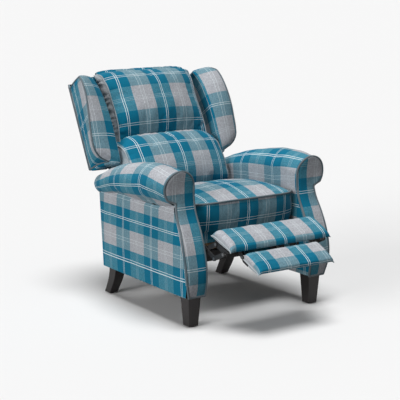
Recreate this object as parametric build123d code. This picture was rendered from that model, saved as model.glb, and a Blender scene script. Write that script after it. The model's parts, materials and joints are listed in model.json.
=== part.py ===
"""Push-back wingback recliner with rolled arms, a two-panel footrest and a sliding seat.

Millimetres, +Z up, the sitter faces -Y, +X is on the right of someone looking at the front.
The chair is drawn half reclined with its footrest almost out, which is the rest pose.
"""
from build123d import *
from math import cos, radians, sin
import os

# ---------------------------------------------------------------- driving dimensions
# overall
front_y = -260.0            # neck of the arm facings; puts the middle of the chair at y = 0
seat_gap = 524.0            # clear width between the two arms
leg_height = 127.0
base_depth = 580.0          # neck of the arm facings to the rear edge of the side panels
side_rake = 27.0            # how far the side panels' rear edge leans back at its top
panel_taper = 17.0          # how much narrower each side is at the rear

# upholstery and boards of the arms
inner_pad_t = 14.0
side_board_t = 18.0
outer_pad_t = 56.0
facing_t = 14.0
skin_gap = 0.3              # between curved neighbours
neck_height = 368.0         # seat of the roll above the underside of the base, at the front
neck_fall = 52.0            # how much lower it is at the rear
roll_overlap = 4.0          # the roll stands this far over the inner face
arm_rail_w = 34.0
arm_rail_h = 28.0
arm_rail_front = 30.0       # behind the neck
arm_rail_rear = 60.0        # ahead of the side panel's rear edge
# down the roll: depth behind the neck, height of its middle above the neck line, radius
roll_stations = [(-12.0, 47.0, 68.0), (125.0, 66.0, 74.0), (280.0, 68.0, 72.0),
                 (425.0, 61.0, 59.0), (545.0, 41.0, 46.0), (622.0, 24.0, 36.0)]
# up the arm's front edge: height above the base, distance ahead of the neck
facing_shape = [(0.0, 77.0), (68.0, 87.0), (113.0, 85.0), (173.0, 72.0), (248.0, 44.0),
                (323.0, 6.0), (423.0, -5.0), (484.0, 5.0)]
# up the arm's outer edge, seen from the front: share of the height, bulge past the side
belly_shape = [(0.0, -16.0), (0.17, 2.0), (0.48, 7.0), (0.72, 2.0), (1.0, -6.0)]

# legs
front_leg_top = 58.0
front_leg_foot = 42.0
front_leg_inset = 20.0      # outer face to the side panel's outer face
front_leg_forward = 63.0    # leg's front face ahead of the facings' neck
rear_leg_top = 50.0
rear_leg_foot = 40.0
rear_leg_inset = 16.0       # outer face to the side panel's outer face
rear_leg_setback = 30.0     # leg's rear face ahead of the side panel's rear edge
rear_leg_sweep = 54.0       # how far the foot is kicked back
glide_t = 4.0
glide_r = 13.0
leg_bolt_r = 4.0
leg_bolt_reach = 24.0       # into the leg and into the block above it
leg_block_h = 45.0
leg_block_inset = 4.0       # block's outer face inside the leg's outer face

# cross rails of the base
rail_t = 24.0
rear_rail_h = 50.0
rear_panel_t = 14.0
rear_panel_h = 134.0
middle_rail_h = 46.0
middle_rail_setback = 370.0

# steel mechanism, from the arm inwards
base_plate_t = 4.0
seat_plate_t = 3.0
link_t = 3.0
layer_gap = 1.0
run_gap = 0.3               # end play of rollers
pin_stub = 1.0              # pin past the ear that it carries
plate_gap = 2.0
link_w = 18.0
half_link = 66.0            # pivot to crossing; every link is twice this or this
link_angle = 25.0           # each link above or below level at rest
fold_range = 58.0           # how far the links turn when the footrest folds in
open_range = 3.0            # how far they still open
pin_r = 4.0
pin_clearance = 0.05
open_clearance = 0.6        # at the pivot and the slot that close the linkage
rivet_head_r = 6.0
rivet_head_t = 0.8
pivot_setback = 1.0         # drive pivot behind the facings' neck
pivot_drop = 19.0           # drive pivot under the seat's deck
plate_margin = 14.0
slot_margin = 20.0          # plate behind the slot that guides the links
seat_plate_h = 110.0
guide_pin_drop = 85.0       # guide pins under the seat plate's top
guide_front_setback = 125.0
guide_spacing = 285.0
glide_forward = 24.0        # seat travel from rest, forwards and backwards
base_plate_above = 24.0     # over the guide pins
base_plate_below = 66.0
base_bolt_drop = 52.0
base_plate_margin = 40.0
roller_r = 9.0
bolt_r = 3.5
bolt_head_r = 7.0
bolt_head_t = 4.0
cross_tube_r = 11.0
cross_tube_wall = 2.0
cross_tube_setback = 215.0
cross_tube_drop = 60.0      # under the seat plate's top

# seat
deck_height = 228.0         # seat deck's top above the underside of the base
deck_t = 5.0
seat_rail_w = 28.0
seat_rail_h = 38.0
seat_front_setback = 22.0   # front rail behind the facings' neck
seat_depth = 405.0          # front rail's face to the rear rail's rear face
cushion_side_gap = 9.0
cushion_rear_gap = 12.0     # rear of the cushion ahead of the rear rail's back face
cushion_overhang = 20.0     # front edge of the cushion ahead of the front rail
cushion_edge_h = 112.0
cushion_crown = 34.0
cushion_undercut = 12.0     # the front face leans in towards its foot
cushion_pull = 7.0          # the sides draw in between the corners
strap_count = 5
strap_w = 60.0
strap_t = 2.5

# back, in its own plane: s runs up the back, t towards the sitter
back_lean = 26.0            # from upright, at rest
hinge_behind = 51.0         # behind the rear rail's rear face
hinge_rise = 5.0            # above the seat's deck
post_w = 40.0
post_t = 30.0
post_inset = 7.0            # post to the seat plate
post_foot = -55.0
post_top = 600.0
back_front_t = -58.0        # front face of the posts
webbing_t = 8.0
back_rail_h = 60.0
back_middle_rise = 270.0    # middle rail above the hinge
outside_back_t = 12.0
wing_foot = 232.0           # above the hinge
wing_height = 388.0
wing_rim = 7.0              # outer front edge behind the fullest point
wing_round = 26.0           # inner front edge behind it
wing_outer = 76.0           # wing's thickness at the rear
wing_flare = 26.0           # how much thicker at the front edge
wing_board_t = 15.0
wing_board_margin = 20.0
wing_spacer_foot = 30.0     # spacer above the wing's foot
wing_spacer_top = 20.0      # and below the posts' top
# up a wing: share of its height, depth in front of the outside back
wing_rows = [(0.0, 112.0), (0.06, 122.0), (0.35, 138.0), (0.62, 148.0), (0.85, 142.0),
             (1.0, 112.0)]
pillow_side_gap = 17.0      # pillow to the wing
pillow_edge_in = 12.0       # pillows draw in between their corners
lumbar_foot = 30.0
lumbar_length = 305.0
lumbar_edge = 112.0
lumbar_crown = 36.0
pillow_gap = 1.0
head_length = 308.0
head_edge = 66.0
head_crown = 34.0
bracket_t = 3.0
bracket_w = 44.0
bracket_length = 150.0
bracket_margin = 2.0        # strap inside the post's edges
back_bolt_heights = (45.0, 85.0, 125.0)

# footrest
footrest_side_gap = 17.0    # footrest's end to the arm's inside
footrest_depth = 133.0
footrest_behind = 30.0      # behind the top pivot
footrest_rise = 11.0        # underside above the top pivot
footrest_tilt = 5.6         # board against its links
board_t = 9.0
board_inset = 6.0
footrest_pad_t = 24.0
footrest_crown = 5.0
flipper_crown = 4.0
pad_pull = 1.5              # pad ends draw in
flange_w = 22.0
carrier_rear = 14.0         # flange behind the top pivot
carrier_front = 20.0        # flange past the links' reach
ear_r = 6.0                 # steel round a small pivot
flipper_half_width = 180.0
flipper_depth = 108.0
flipper_start = 8.0         # from the hinge to the flipper's rear edge
flipper_fold_gap = 1.5      # folded flipper under the footrest board
flipper_droop = 4.5         # flipper against the footrest at rest
flipper_board_t = 8.0
flipper_pad_t = 18.0
flipper_below = 16.0        # flipper's underside under its hinge
flipper_arm_length = 32.0
hanger_length = 50.0

# ---------------------------------------------------------------- places worked out
base_z = leg_height
inner_x = seat_gap / 2
board_x = inner_x + inner_pad_t
outer_pad_x = board_x + side_board_t
outer_x = outer_pad_x + outer_pad_t
rear_y = front_y + base_depth
deck_z = base_z + deck_height
plate_top = deck_z - deck_t
far = 1000.0                # longer than the chair, for cutting

base_plate_x = inner_x - base_plate_t
seat_plate_x = base_plate_x - plate_gap - seat_plate_t
tip_x = seat_plate_x - 1.5 * layer_gap - link_t
drive_x = tip_x - layer_gap - link_t
cross_x = drive_x - layer_gap - link_t
carrier_x = cross_x - layer_gap - link_t

drive_pivot = (front_y + pivot_setback, deck_z - pivot_drop)
half_level = half_link * cos(radians(link_angle))
half_rise = half_link * sin(radians(link_angle))
slot_pin = (drive_pivot[0], drive_pivot[1] - 2 * half_rise)
crossing = (drive_pivot[0] - half_level, drive_pivot[1] - half_rise)
top_pivot = (crossing[0] - half_level, crossing[1] + half_rise)
low_pivot = (crossing[0] - half_level, crossing[1] - half_rise)
tip_pivot = (crossing[0] - 2 * half_level, crossing[1])
slot_low = drive_pivot[1] - 2 * half_link * sin(radians(link_angle + fold_range))
slot_high = drive_pivot[1] - 2 * half_link * sin(radians(link_angle - open_range))

seat_front_y = front_y + seat_front_setback
seat_rear_y = seat_front_y + seat_depth
hinge = (seat_rear_y + hinge_behind, deck_z + hinge_rise)
guide_pins = [
    (front_y + guide_front_setback, plate_top - guide_pin_drop),
    (front_y + guide_front_setback + guide_spacing, plate_top - guide_pin_drop),
]
post_x = seat_plate_x - post_inset
outside_t = back_front_t - post_t
pillow_t = back_front_t + webbing_t
pillow_half_width = inner_x - pillow_side_gap
footrest_half_width = inner_x - footrest_side_gap
flipper_pivot_forward = footrest_depth - footrest_behind
flipper_pivot_drop = flipper_below + flipper_fold_gap


# ---------------------------------------------------------------- helpers
def prism(points, x0, x1):
    """Solid over an outline of (y, z) points, from x0 to x1."""
    outline = Polyline(*[(x0, y, z) for y, z in points], close=True)
    return extrude(make_face(outline.edges()), x1 - x0, dir=(1, 0, 0))


def block(x0, x1, y0, y1, z0, z1):
    middle = ((x0 + x1) / 2, (y0 + y1) / 2, (z0 + z1) / 2)
    return Pos(*middle) * Box(x1 - x0, y1 - y0, z1 - z0)


def rod(at, r, x0, x1):
    """Round bar along X at a (y, z) place."""
    return Pos((x0 + x1) / 2, *at) * Rot(0, 90, 0) * Cylinder(r, x1 - x0)


def both(part):
    """A right-hand piece and its mirror image as two solids."""
    return Compound(children=[part, mirror(part, Plane.YZ)])


def bar(a, b, x0, holes):
    """Flat steel link with round ends, from pivot a to pivot b."""
    run = (b[0] - a[0], b[1] - a[1])
    length = (run[0] ** 2 + run[1] ** 2) ** 0.5
    plane = Plane(origin=(x0, *a), x_dir=(0, *run), z_dir=(1, 0, 0))
    link = extrude(plane * Pos(length / 2, 0) * SlotCenterToCenter(length, link_w), link_t)
    for place, r in holes:
        link -= rod(place, r, x0 - 1, x0 + link_t + 1)
    return link


def rivet(at, x0, x1, r=pin_r):
    """Pin along X whose two heads lie outside x0 and x1."""
    shaft = rod(at, r, x0 - rivet_head_t, x1 + rivet_head_t)
    inner = rod(at, rivet_head_r, x0 - rivet_head_t, x0)
    outer = rod(at, rivet_head_r, x1, x1 + rivet_head_t)
    return shaft + inner + outer


def bolt(at, x0, x1):
    """Bolt along X with its head on the x0 side."""
    return rod(at, bolt_r, x0, x1) + rod(at, bolt_head_r, x0 - bolt_head_t, x0)


def tilted(origin, angle):
    """(y, z) of a point given along and square to a direction tilted below the front."""
    c, s = cos(radians(angle)), sin(radians(angle))
    return lambda along, square: (
        origin[0] - along * c - square * s,
        origin[1] - along * s + square * c,
    )


def on_back(s, t):
    """(y, z) of a point s up the back and t towards the sitter."""
    c, k = cos(radians(back_lean)), sin(radians(back_lean))
    return (hinge[0] + s * k - t * c, hinge[1] + s * c + t * k)


def back_block(x0, x1, s0, s1, t0, t1):
    corners = [(s0, t0), (s1, t0), (s1, t1), (s0, t1)]
    return prism([on_back(s, t) for s, t in corners], x0, x1)


def section(corner, half, low, edge, crown, pull):
    """Closed outline across a pillow: flat foot, drawn-in sides and a crowned face.

    corner(x, h) gives the point at x across and h out of the supporting face.
    """
    middle = (low + edge) / 2
    foot = Line(corner(-half, low), corner(half, low))
    right = ThreePointArc(corner(half, low), corner(half - pull, middle), corner(half, edge))
    face = ThreePointArc(corner(half, edge), corner(0, edge + crown), corner(-half, edge))
    left = ThreePointArc(corner(-half, edge), corner(pull - half, middle), corner(-half, low))
    return make_face([foot, right, face, left])


def pillow(frames):
    """Smooth body through a list of sections."""
    return loft(frames)


# ---------------------------------------------------------------- arms
def facing_curve(setback):
    """Side view of the arm's front: upright at the roll, kicked forwards at the foot."""
    return [(front_y - lean + setback, base_z + up) for up, lean in facing_shape]


def behind_facing(setback):
    """Everything behind the facing, as a tall prism."""
    curve = Spline(*[(-far, y, z) for y, z in facing_curve(setback)])
    start, end = curve @ 0, curve @ 1
    wall = Polyline(
        (-far, end.Y, end.Z),
        (-far, end.Y, end.Z + far),
        (-far, far, end.Z + far),
        (-far, far, start.Z - far),
        (-far, start.Y, start.Z - far),
        (-far, start.Y, start.Z),
    )
    return extrude(make_face([*curve.edges(), *wall.edges()]), 2 * far, dir=(1, 0, 0))


def neck_z(y):
    return base_z + neck_height - neck_fall * (y - front_y) / base_depth


def roll_middle(back, rise, r):
    y = front_y + back
    return (inner_x - roll_overlap + r, y, neck_z(y) + rise)


def roll_body():
    rings = [Plane(origin=roll_middle(*station), z_dir=(0, 1, 0)) * Circle(station[2])
             for station in roll_stations]
    return loft(rings)


def side_outline(setback):
    """Side view of boards and pads under the roll, before the front is cut."""
    y0 = front_y - far
    top_rear = rear_y + side_rake * neck_height / (neck_height + neck_fall)
    return [(y0, base_z), (rear_y - setback, base_z), (top_rear - setback, neck_z(top_rear)),
            (y0, neck_z(y0))]


front_cut = behind_facing(facing_t + skin_gap)
front_leg_at = (outer_x - front_leg_inset - front_leg_top / 2,
                front_y - front_leg_forward + front_leg_top / 2)
rear_leg_at = (outer_x - panel_taper - rear_leg_inset - rear_leg_top / 2,
               rear_y - rear_leg_setback - rear_leg_top / 2)


def leg_blocks():
    """Wooden blocks glued to the board's outside, for the bolts of the two legs."""
    blocks = []
    for (x, y), side in [(front_leg_at, front_leg_top), (rear_leg_at, rear_leg_top)]:
        half = side / 2 - leg_block_inset
        blocks.append(block(outer_pad_x, x + half, y - half, y + half, base_z,
                            base_z + leg_block_h))
    return blocks[0] + blocks[1]


def leg_bolt(at):
    return upright(at, leg_bolt_r, base_z - leg_bolt_reach, base_z + leg_bolt_reach)


def side_board():
    board = (prism(side_outline(0), board_x, outer_pad_x) & front_cut) + leg_blocks()
    return board - leg_bolt(front_leg_at) - leg_bolt(rear_leg_at)


def inner_pad():
    return prism(side_outline(0), inner_x, board_x) & front_cut


def outer_pad():
    body = prism(side_outline(0), outer_pad_x, outer_x) & front_cut
    plan = Polyline(
        (outer_pad_x, front_y - front_leg_forward - far, 0),
        (outer_x, front_y - front_leg_forward - far, 0),
        (outer_x, front_y, 0),
        (outer_x - panel_taper, rear_y + side_rake, 0),
        (outer_pad_x, rear_y + side_rake, 0),
        close=True,
    )
    body &= extrude(make_face(plan.edges()), far, dir=(0, 0, 1))
    return body - leg_blocks()


def roll_seat(x1):
    """Space under the roll that the boards and pads fill."""
    y0, y1 = front_y - far, rear_y + far
    low = base_z - far
    return prism([(y0, low), (y1, low), (y1, neck_z(y1)), (y0, neck_z(y0))], 0, x1)


def arm_rail():
    y0, y1 = front_y + arm_rail_front, rear_y - arm_rail_rear
    x0 = board_x - (arm_rail_w - side_board_t) / 2
    outline = [(y0, neck_z(y0)), (y1, neck_z(y1)), (y1, neck_z(y1) + arm_rail_h),
               (y0, neck_z(y0) + arm_rail_h)]
    return prism(outline, x0, x0 + arm_rail_w)


def arm_roll():
    return (roll_body() & front_cut) - roll_seat(outer_x) - arm_rail()


def scroll_outline():
    """Front view of the arm: straight inside, scroll on top, bellied outside."""
    r = roll_stations[0][2]
    mx, _, mz = roll_middle(*roll_stations[0])
    low, y = base_z, -far
    lip_z = mz - r * 0.82
    sides = [(outer_x + bulge, y, low + (lip_z - low) * share) for share, bulge in belly_shape]
    inner = Line((inner_x - roll_overlap, y, mz), (inner_x, y, low))
    foot = Line((inner_x, y, low), sides[0])
    belly = Spline(*sides)
    lip = Line(sides[-1], (mx + r * 0.8, y, mz - r * 0.6))
    scroll = ThreePointArc((mx + r * 0.8, y, mz - r * 0.6), (mx + r * 0.6, y, mz + r * 0.8),
                           (inner_x - roll_overlap, y, mz))
    return make_face([inner, foot, belly, lip, scroll])


def arm_facing():
    face = extrude(scroll_outline(), 2 * far, dir=(0, 1, 0))
    return (face & behind_facing(0)) - behind_facing(facing_t)


# ---------------------------------------------------------------- legs
def square_ring(x, y, z, side):
    return Plane(origin=(x, y, z)) * Rectangle(side, side)


def front_leg():
    top = square_ring(*front_leg_at, base_z, front_leg_top)
    foot = square_ring(*front_leg_at, glide_t, front_leg_foot)
    return loft([foot, top]) - leg_bolt(front_leg_at)


# up the rear leg: share of the height, of the sweep and of the taper
rear_leg_rows = [(0.0, 1.0, 1.0), (0.35, 0.52, 0.75), (0.7, 0.14, 0.35), (1.0, 0.0, 0.0)]


def rear_leg():
    x, y = rear_leg_at
    rings = []
    for up, back, taper in rear_leg_rows:
        side = rear_leg_top - (rear_leg_top - rear_leg_foot) * taper
        rings.append(square_ring(x, y + rear_leg_sweep * back,
                                 glide_t + (base_z - glide_t) * up, side))
    return loft(rings) - leg_bolt(rear_leg_at)


def upright(at, r, z0, z1):
    return Pos(*at, (z0 + z1) / 2) * Cylinder(r, z1 - z0)


# ---------------------------------------------------------------- mechanism plates
def base_plate():
    """Steel plate on the arm's inside, with the two level slots that carry the seat."""
    z = guide_pins[0][1]
    y0, y1 = guide_pins[0][0] - base_plate_margin, guide_pins[1][0] + base_plate_margin
    plate = block(base_plate_x, inner_x, y0, y1, z - base_plate_below, z + base_plate_above)
    run = 2 * glide_forward
    for y, z in guide_pins:
        slot = SlotCenterToCenter(run, 2 * (pin_r + pin_clearance))
        plane = Plane(origin=(base_plate_x - 1, y, z), x_dir=(0, 1, 0), z_dir=(1, 0, 0))
        plate -= extrude(plane * slot, base_plate_t + 2)
    for at in base_bolt_places():
        plate -= rod(at, bolt_r, base_plate_x - 1, inner_x + 1)
    return plate


def base_bolt_places():
    y, z = guide_pins[0]
    return [(y + guide_spacing * k, z - base_bolt_drop) for k in (0.0, 0.5, 1.0)]


def seat_plate():
    """Steel side of the seat: footrest slot in front, guide pins below, back hinge behind."""
    front = drive_pivot[0] - plate_margin
    low = plate_top - seat_plate_h
    outline = [
        (front, plate_top),
        (front, slot_low - plate_margin),
        (drive_pivot[0] + slot_margin, slot_low - plate_margin),
        (drive_pivot[0] + 3 * plate_margin, low),
        (guide_pins[1][0] + 2 * plate_margin, low),
        (hinge[0] + plate_margin, hinge[1] - 2 * plate_margin),
        (hinge[0] + plate_margin, hinge[1] + plate_margin),
        (hinge[0] - plate_margin, hinge[1] + plate_margin),
        (hinge[0] - 3 * plate_margin, plate_top),
    ]
    plate = prism(outline, seat_plate_x, seat_plate_x + seat_plate_t)
    slot = SlotCenterToCenter(slot_high - slot_low, 2 * (pin_r + open_clearance))
    middle = (seat_plate_x - 1, drive_pivot[0], (slot_low + slot_high) / 2)
    plane = Plane(origin=middle, x_dir=(0, 0, 1), z_dir=(1, 0, 0))
    plate -= extrude(plane * slot, seat_plate_t + 2)
    for at in [drive_pivot, hinge, *guide_pins]:
        plate -= rod(at, pin_r, seat_plate_x - 1, seat_plate_x + seat_plate_t + 1)
    for at in seat_bolt_places():
        plate -= rod(at, bolt_r, seat_plate_x - 1, seat_plate_x + seat_plate_t + 1)
    return plate


def seat_bolt_places():
    z = plate_top - seat_rail_h / 2
    return [(seat_front_y + seat_depth * k, z) for k in (0.12, 0.5, 0.88)]


def guide_pin(at):
    """Pin through the base plate's slot, with a shoulder roller between the plates."""
    return (rod(at, pin_r, seat_plate_x, inner_x - run_gap)
            + rod(at, roller_r, seat_plate_x + seat_plate_t, base_plate_x - run_gap))


# ---------------------------------------------------------------- seat
def seat_bolt(at):
    """Flat-headed bolt through the seat plate into the side rail."""
    x1 = seat_plate_x + seat_plate_t
    return (rod(at, bolt_r, seat_plate_x, x1) + rod(at, bolt_head_r, x1, x1 + bolt_head_t / 2))


def seat_rails():
    x1 = seat_plate_x
    x0 = x1 - seat_rail_w
    z0, z1 = plate_top - seat_rail_h, plate_top
    side = block(x0, x1, seat_front_y, seat_rear_y, z0, z1)
    front = block(-x0, x0, seat_front_y, seat_front_y + rail_t, z0, z1)
    rear = block(-x0, x0, seat_rear_y - rail_t, seat_rear_y, z0, z1)
    return side, front, rear


def seat_strap(x):
    """Elastic webbing belt stretched from the front rail to the rear rail."""
    half = strap_w / 2
    return block(x - half, x + half, seat_front_y + rail_t, seat_rear_y - rail_t,
                 plate_top - strap_t, plate_top)


def seat_cushion():
    half = inner_x - cushion_side_gap
    y0 = seat_front_y - cushion_overhang
    depth = seat_depth + cushion_overhang - cushion_rear_gap
    rows = [(0.0, 0.96, 0.24), (0.08, 1.02, 0.53), (0.45, 1.06, 1.0), (0.84, 0.94, 0.53),
            (1.0, 0.70, 0.12)]
    frames = []
    for k, tall, crown in rows:
        y = y0 + depth * k
        frames.append(section(lambda x, h, y=y: (x, y, deck_z + h), half, 0.0,
                              cushion_edge_h * tall, cushion_crown * crown, cushion_pull))
    body = pillow(frames)
    under = prism([(y0 - far, deck_z - far), (y0 + cushion_undercut, deck_z - far),
                   (y0 + cushion_undercut, deck_z),
                   (y0, deck_z + cushion_edge_h), (y0 - far, deck_z + cushion_edge_h)], -far, far)
    return body - under


# ---------------------------------------------------------------- back
def wing_section(share, depth):
    """Across a wing: flat inside and rear, flared outside, rounded at the front."""
    front = outside_t + depth
    outer = inner_x + wing_outer + wing_flare * depth / wing_rows[3][1]
    middle = (inner_x + outer) / 2

    def place(x, t):
        return (x, *on_back(wing_foot + wing_height * share, t))

    rear = Line(place(inner_x, outside_t), place(inner_x + wing_outer, outside_t))
    side = Line(place(inner_x + wing_outer, outside_t), place(outer, front - wing_rim))
    face = ThreePointArc(place(outer, front - wing_rim), place(middle, front),
                         place(inner_x, front - wing_round))
    inside = Line(place(inner_x, front - wing_round), place(inner_x, outside_t))
    return make_face([rear, side, face, inside])


def wing_board():
    low, high = wing_foot + wing_board_margin, wing_foot + wing_height - wing_board_margin
    x0 = inner_x + (wing_outer - wing_board_t) / 2
    front = outside_t + wing_rows[0][1] - wing_board_margin
    return back_block(x0, x0 + wing_board_t, low, high, outside_t, front)


def wing_pad():
    return pillow([wing_section(share, depth) for share, depth in wing_rows]) - wing_board()


def on_pillow(s):
    """Maps (x, h) to the plane across the back at height s, h towards the sitter."""
    return lambda x, h: (x, *on_back(s, pillow_t + h))


def lumbar_cushion():
    rows = [(0.0, 0.42, 0.11), (0.08, 0.80, 0.44), (0.35, 1.06, 1.0), (0.65, 1.0, 1.0),
            (0.88, 0.72, 0.72), (1.0, 0.40, 0.33)]
    frames = [section(on_pillow(lumbar_foot + lumbar_length * k), pillow_half_width, 0.0,
                      lumbar_edge * tall, lumbar_crown * crown, pillow_edge_in)
              for k, tall, crown in rows]
    return pillow(frames)


def head_cushion():
    foot = lumbar_foot + lumbar_length + pillow_gap
    rows = [(0.0, 0.92, 0.41), (0.2, 1.08, 1.0), (0.55, 1.0, 1.0), (0.85, 0.86, 0.7),
            (1.0, 0.36, 0.24)]
    frames = [section(on_pillow(foot + head_length * k), pillow_half_width, 0.0,
                      head_edge * tall, head_crown * crown, pillow_edge_in)
              for k, tall, crown in rows]
    return pillow(frames)


def outside_back():
    half = inner_x + wing_outer
    rear = outside_t - outside_back_t
    upper = back_block(-half, half, wing_foot, wing_foot + wing_height, rear, outside_t)
    lower = back_block(-post_x, post_x, post_foot, wing_foot, rear, outside_t)
    return upper + lower


def back_bracket():
    """Steel strap on the post's outside, from the hinge up."""
    x0, x1 = post_x, post_x + bracket_t
    rear, front = outside_t + bracket_margin, back_front_t - bracket_margin
    strap = back_block(x0, x1, -bracket_w / 2, bracket_length, rear, front)
    ear = prism([on_back(s, t) for s, t in [(-bracket_w / 2, rear + ear_r),
                                            (-bracket_w / 2, plate_margin),
                                            (plate_margin, plate_margin),
                                            (bracket_w, front)]], x0, x1)
    body = strap + ear - rod(hinge, pin_r + pin_clearance, x0 - 1, x1 + 1)
    for s in back_bolt_heights:
        at = on_back(s, (outside_t + back_front_t) / 2)
        body -= rod(at, bolt_r, x0 - 1, x1 + 1)
    return body


def back_bolt(s):
    """Bolt through the bracket, its head towards the arm."""
    x0 = post_x
    at = on_back(s, (outside_t + back_front_t) / 2)
    return (rod(at, bolt_r, x0, x0 + bracket_t)
            + rod(at, bolt_head_r, x0 + bracket_t, x0 + bracket_t + bolt_head_t / 2))


def back_pin():
    """Pin through the bracket's ear and the seat plate, with a spacer between them."""
    return (rod(hinge, pin_r, post_x - pin_stub, seat_plate_x + seat_plate_t)
            + rod(hinge, roller_r, post_x + bracket_t + run_gap, seat_plate_x))


# ---------------------------------------------------------------- footrest
board_line = tilted(top_pivot, link_angle - footrest_tilt)
flipper_pivot = board_line(flipper_pivot_forward, footrest_rise - flipper_pivot_drop)
flipper_line = tilted(flipper_pivot, link_angle - footrest_tilt + flipper_droop)


def slab(line, half, a0, a1, h0, h1):
    corners = [(a0, h0), (a1, h0), (a1, h1), (a0, h1)]
    return prism([line(a, h) for a, h in corners], -half, half)


def footrest_bracket():
    """Carrier link from the top pivot to the tip, with a flange under the board."""
    x0 = carrier_x
    top, reach = footrest_rise, half_link + carrier_front
    link = bar(top_pivot, tip_pivot, x0, [])
    web = prism([board_line(a, h) for a, h in [(-ear_r, 0), (-carrier_rear, top), (reach, top),
                                               (half_link, -ear_r)]], x0, x0 + link_t)
    flange = prism([board_line(a, h) for a, h in [(-carrier_rear, top - link_t),
                                                  (-carrier_rear, top), (reach, top),
                                                  (reach, top - link_t)]], x0 - flange_w, x0)
    body = link + web + flange
    for at in (top_pivot, tip_pivot):
        body -= rod(at, pin_r + pin_clearance, x0 - 1, x0 + link_t + 1)
    return body


def pad_body(line, half, a0, a1, h0, edge, crown):
    """Upholstered board: flat underside, full middle, thinner at its front and rear."""
    rows = [(0.0, 0.62, 0.4), (0.16, 0.94, 0.7), (0.5, 1.0, 1.0), (0.84, 0.94, 0.7),
            (1.0, 0.62, 0.4)]
    frames = []
    for k, tall, rise in rows:
        along = a0 + (a1 - a0) * k
        frames.append(section(lambda x, h, a=along: (x, *line(a, h0 + h)), half, 0.0,
                              (edge - crown) * tall, crown * rise, pad_pull))
    return pillow(frames)


def footrest_pad():
    h0 = footrest_rise + board_t
    return pad_body(board_line, footrest_half_width, -footrest_behind,
                    footrest_depth - footrest_behind, h0, footrest_pad_t, footrest_crown)


def footrest_board():
    return slab(board_line, footrest_half_width - board_inset, board_inset - footrest_behind,
                footrest_depth - footrest_behind - board_inset, footrest_rise,
                footrest_rise + board_t)


def flipper_board():
    return slab(flipper_line, flipper_half_width, flipper_start, flipper_start + flipper_depth
                - board_inset, -flipper_below, flipper_board_t - flipper_below)


def flipper_pad():
    return pad_body(flipper_line, flipper_half_width, flipper_start, flipper_start
                    + flipper_depth, flipper_board_t - flipper_below, flipper_pad_t,
                    flipper_crown)


def flipper_arm():
    """Steel arm on the flipper's end, carrying its half of the hinge."""
    x0 = flipper_half_width
    low, high = -flipper_below, flipper_board_t - flipper_below
    end = flipper_start + flipper_arm_length
    arm = prism([flipper_line(a, h) for a, h in [(-ear_r, -ear_r), (-ear_r, ear_r),
                                                 (ear_r, ear_r), (flipper_start + ear_r, high),
                                                 (end, high), (end, low),
                                                 (flipper_start, low)]], x0, x0 + link_t)
    return arm - rod(flipper_pivot, pin_r + pin_clearance, x0 - 1, x0 + link_t + 1)


def flipper_hanger():
    """Steel plate under the footrest board that holds the flipper's hinge."""
    x0 = flipper_half_width + link_t + layer_gap
    a, h = flipper_pivot_forward, footrest_rise - flipper_pivot_drop
    plate = prism([board_line(*at) for at in [(a - hanger_length, footrest_rise),
                                              (a - 2 * ear_r, footrest_rise),
                                              (a + ear_r, h + ear_r), (a + ear_r, h - ear_r),
                                              (a - ear_r, h - ear_r)]], x0, x0 + link_t)
    return plate - rod(flipper_pivot, pin_r, x0 - 1, x0 + link_t + 1)


# ---------------------------------------------------------------- the pieces
nodes = {}
sides = {"right": lambda part: part, "left": lambda part: mirror(part, Plane.YZ)}

for name, side in sides.items():
    nodes[f"leg_front_{name}"] = side(front_leg())
    nodes[f"leg_rear_{name}"] = side(rear_leg())
rear_foot_at = (rear_leg_at[0], rear_leg_at[1] + rear_leg_sweep)
nodes["leg_glides"] = Compound(children=[
    *both(upright(front_leg_at, glide_r, 0, glide_t)).solids(),
    *both(upright(rear_foot_at, glide_r, 0, glide_t)).solids()])
nodes["leg_bolts"] = Compound(children=[
    *both(leg_bolt(front_leg_at)).solids(), *both(leg_bolt(rear_leg_at)).solids()])

for name, side in sides.items():
    nodes[f"inner_arm_pad_{name}"] = side(inner_pad())
    nodes[f"outer_side_pad_{name}"] = side(outer_pad())
    nodes[f"arm_roll_{name}"] = side(arm_roll())
    nodes[f"arm_facing_{name}"] = side(arm_facing())
nodes["side_boards"] = both(side_board())
nodes["arm_rails"] = both(arm_rail())

nodes["rear_rail"] = block(-inner_x, inner_x, rear_y - rear_panel_t - rail_t,
                           rear_y - rear_panel_t, base_z, base_z + rear_rail_h)
nodes["rear_panel"] = block(-inner_x, inner_x, rear_y - rear_panel_t, rear_y, base_z,
                            base_z + rear_panel_h)
middle_y = front_y + middle_rail_setback
nodes["middle_rail"] = block(-inner_x, inner_x, middle_y, middle_y + rail_t, base_z,
                             base_z + middle_rail_h)

nodes["base_plates"] = both(base_plate())
base_bolts = []
for at in base_bolt_places():
    base_bolts += both(bolt(at, base_plate_x, inner_x)).solids()
nodes["base_plate_bolts"] = Compound(children=base_bolts)

nodes["seat_plates"] = both(seat_plate())
guides = []
for at in guide_pins:
    guides += both(guide_pin(at)).solids()
nodes["guide_rollers"] = Compound(children=guides)
seat_side, seat_front, seat_rear = seat_rails()
nodes["seat_side_rails"] = both(seat_side)
nodes["seat_front_rail"] = seat_front
nodes["seat_rear_rail"] = seat_rear
strap_step = 2 * (seat_plate_x - seat_rail_w) / strap_count
strap_offset = (strap_count - 1) / 2
nodes["seat_straps"] = Compound(children=[
    seat_strap(strap_step * (k - strap_offset)) for k in range(strap_count)])
deck_half = seat_plate_x + seat_plate_t
nodes["seat_deck"] = block(-deck_half, deck_half, seat_front_y, seat_rear_y, plate_top, deck_z)
nodes["seat_cushion"] = seat_cushion()
seat_bolts = []
for at in seat_bolt_places():
    seat_bolts += both(seat_bolt(at)).solids()
nodes["seat_bolts"] = Compound(children=seat_bolts)
tube_at = (front_y + cross_tube_setback, plate_top - cross_tube_drop)
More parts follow.
